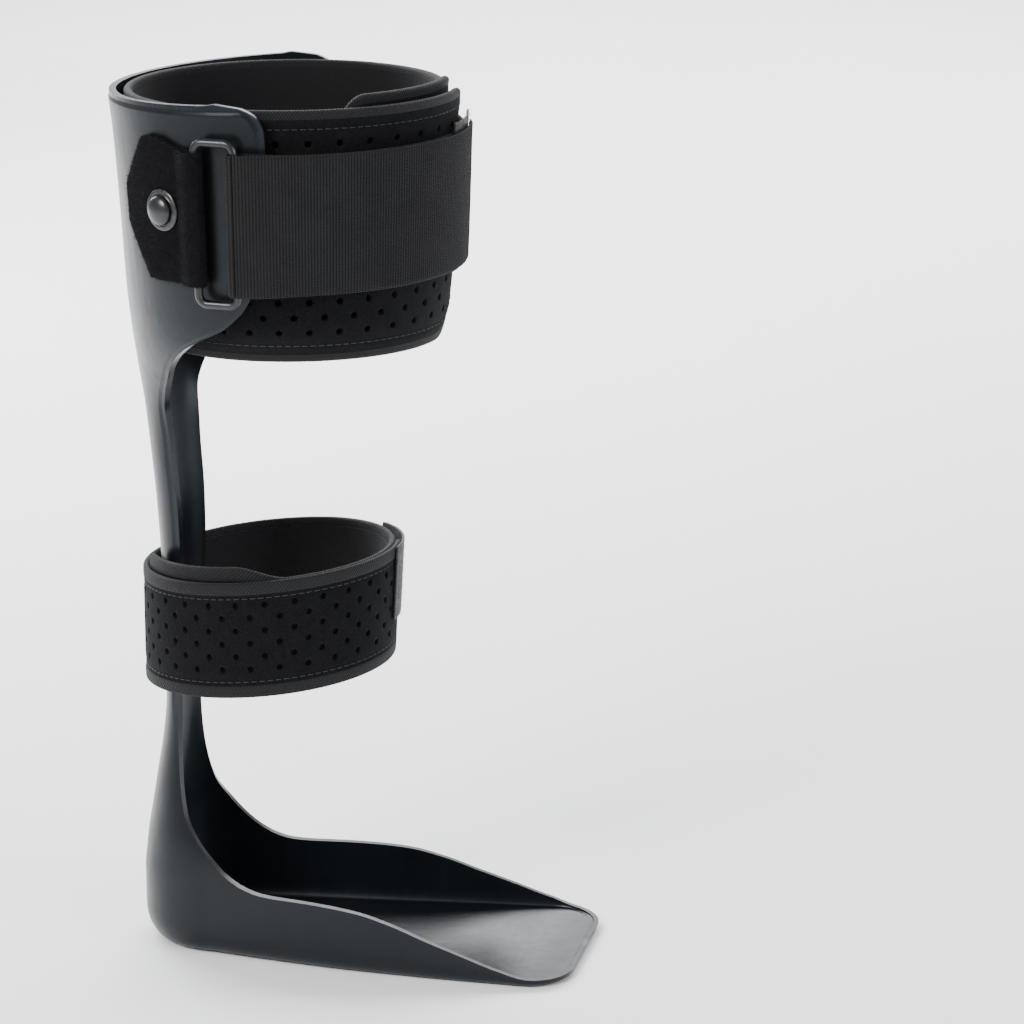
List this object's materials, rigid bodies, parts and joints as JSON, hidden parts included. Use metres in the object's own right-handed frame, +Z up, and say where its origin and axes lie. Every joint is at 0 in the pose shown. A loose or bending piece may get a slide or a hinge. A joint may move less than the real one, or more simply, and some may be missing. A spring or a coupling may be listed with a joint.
{
  "type": "ankle foot orthosis",
  "caption": "Posterior leaf-spring ankle foot orthosis: moulded plastic footplate, strut and calf cuff with padded calf liner, elastic strap through a ring, and padded ankle wrap.",
  "frame": {"origin": "on the flat underside of the sole, below the vertical axis of the calf cuff, on the heel's mid-line", "axes": "+X towards the toes, +Y towards the inner (medial) side of a right foot, +Z up along the leg"},
  "size_m": [0.1728, 0.1433, 0.3202],
  "materials": {
    "moulded_shell": "satin black polypropylene with broad soft reflections",
    "ring_plastic": "glossy black moulded plastic",
    "loop_foam": "perforated foam laminate faced with brushed black loop fabric",
    "soft_lining": "smooth black knitted lining",
    "binding_tape": "dark grey twill binding tape with a stitched inner edge",
    "elastic": "charcoal woven elastic with fine upright ribs",
    "hook_fabric": "black moulded hook fabric",
    "painted_rivet": "black painted steel, worn satin at the rim"
  },
  "bodies": {
    "foot_section": {"foot_shell": "moulded_shell"},
    "calf_section": {"calf_shell": "moulded_shell", "calf_pad": "loop_foam", "calf_pad_lining": "soft_lining", "calf_pad_binding": "binding_tape", "pad_hook_strip_lower": "hook_fabric", "pad_hook_strip_upper": "hook_fabric", "ring_tab": "loop_foam", "strap_ring": "ring_plastic", "lateral_rivet_head": "painted_rivet", "lateral_rivet_washer": "painted_rivet", "lateral_rivet_flange": "painted_rivet", "calf_strap": "elastic", "medial_rivet_head": "painted_rivet", "medial_rivet_washer": "painted_rivet", "medial_rivet_flange": "painted_rivet", "strut_hook_patch": "hook_fabric", "ankle_pad": "loop_foam", "ankle_pad_lining": "soft_lining", "ankle_pad_binding": "binding_tape"},
    "strap_tail": {"calf_strap_tail": "elastic", "calf_strap_hook_tab": "hook_fabric"},
    "wrap_flap": {"ankle_flap": "loop_foam", "ankle_flap_binding": "binding_tape", "ankle_hook_tab": "hook_fabric"}
  },
  "joints": [
    {"name": "strut_flex", "type": "hinge", "parent": "foot_section", "child": "calf_section", "pos_m": [-0.0444, 0, 0.105], "axis": [0, 1, 0], "range_deg": [-8, 12], "stiffness_Nm_per_rad": 20},
    {"name": "strap_tail_peel", "type": "hinge", "parent": "calf_section", "child": "strap_tail", "pos_m": [-0.0036, -0.07276, 0.28], "axis": [0.0037, 0.0366, -0.9993], "range_deg": [0, 100]},
    {"name": "wrap_flap_peel", "type": "hinge", "parent": "calf_section", "child": "wrap_flap", "pos_m": [-0.00203, -0.04472, 0.127], "axis": [0, 0, -1], "range_deg": [0, 75]}
  ]
}
